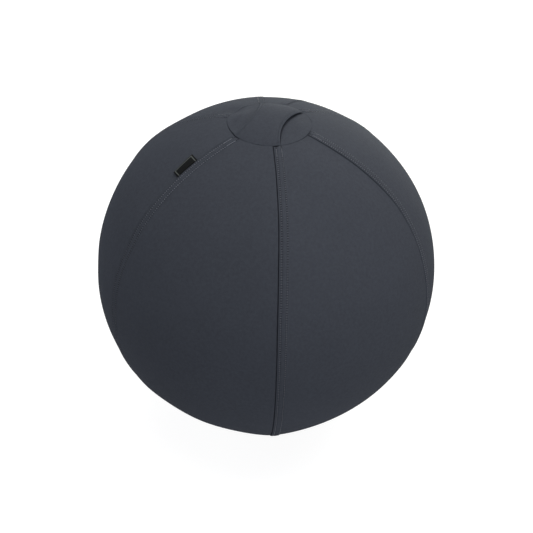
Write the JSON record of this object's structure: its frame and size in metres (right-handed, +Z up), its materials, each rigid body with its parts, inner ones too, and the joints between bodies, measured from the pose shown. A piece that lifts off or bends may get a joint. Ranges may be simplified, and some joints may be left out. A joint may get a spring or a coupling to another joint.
{
  "type": "sitting ball",
  "caption": "Fabric-covered office sitting ball: inflatable inner ball in a zipped panelled cover with a flat carry handle on top and a weighted foot.",
  "frame": {"origin": "middle of the flat contact patch on the floor, under the centre of the ball", "axes": "+Z up through the cap; the carry handle runs along Y and its near end faces -Y"},
  "size_m": [0.655, 0.6462, 0.655],
  "materials": {
    "cover_fabric": "matt brushed knit",
    "floor_fabric": "matt dotted anti-slip cloth",
    "tab_weave": "satin woven tape",
    "zip_weave": "matt herringbone tape",
    "zip_plastic": "moulded",
    "zip_metal": "satin enamel",
    "ball_vinyl": "satin",
    "valve_plastic": "moulded",
    "pouch_cloth": "matt canvas",
    "ballast_sand": "loose grains"
  },
  "bodies": {
    "ball": {"cover_panel_1": "cover_fabric", "cover_panel_2": "cover_fabric", "cover_panel_3": "cover_fabric", "cover_panel_4": "cover_fabric", "cover_panel_5": "cover_fabric", "cover_panel_6": "cover_fabric", "top_cap": "cover_fabric", "base_cap": "floor_fabric", "side_tab": "tab_weave", "zip_tape_left": "zip_weave", "zip_tape_right": "zip_weave", "zip_teeth_left": "zip_plastic", "zip_teeth_right": "zip_plastic", "zip_stops": "zip_plastic", "inner_ball": "ball_vinyl", "valve_seat": "ball_vinyl", "valve_plug": "valve_plastic", "ballast_pouch": "pouch_cloth", "ballast_fill": "ballast_sand"},
    "handle": {"carry_handle": "cover_fabric"},
    "slider": {"zip_slider": "zip_metal"},
    "pull": {"zip_pull": "zip_metal"}
  },
  "joints": [
    {"name": "handle_lift", "type": "slide", "parent": "ball", "child": "handle", "axis": [0, 0, 1], "range_m": [0, 0.028]},
    {"name": "zip_travel", "type": "hinge", "parent": "ball", "child": "slider", "pos_m": [-0.00358, 0.00768, 0.31999], "axis": [0.9063, 0.4226, 0], "range_deg": [0, 66.1]},
    {"name": "pull_flip", "type": "hinge", "parent": "slider", "child": "pull", "pos_m": [-0.11691, 0.25071, 0.14387], "axis": [0.9063, 0.4226, 0], "range_deg": [-28, 137]}
  ]
}
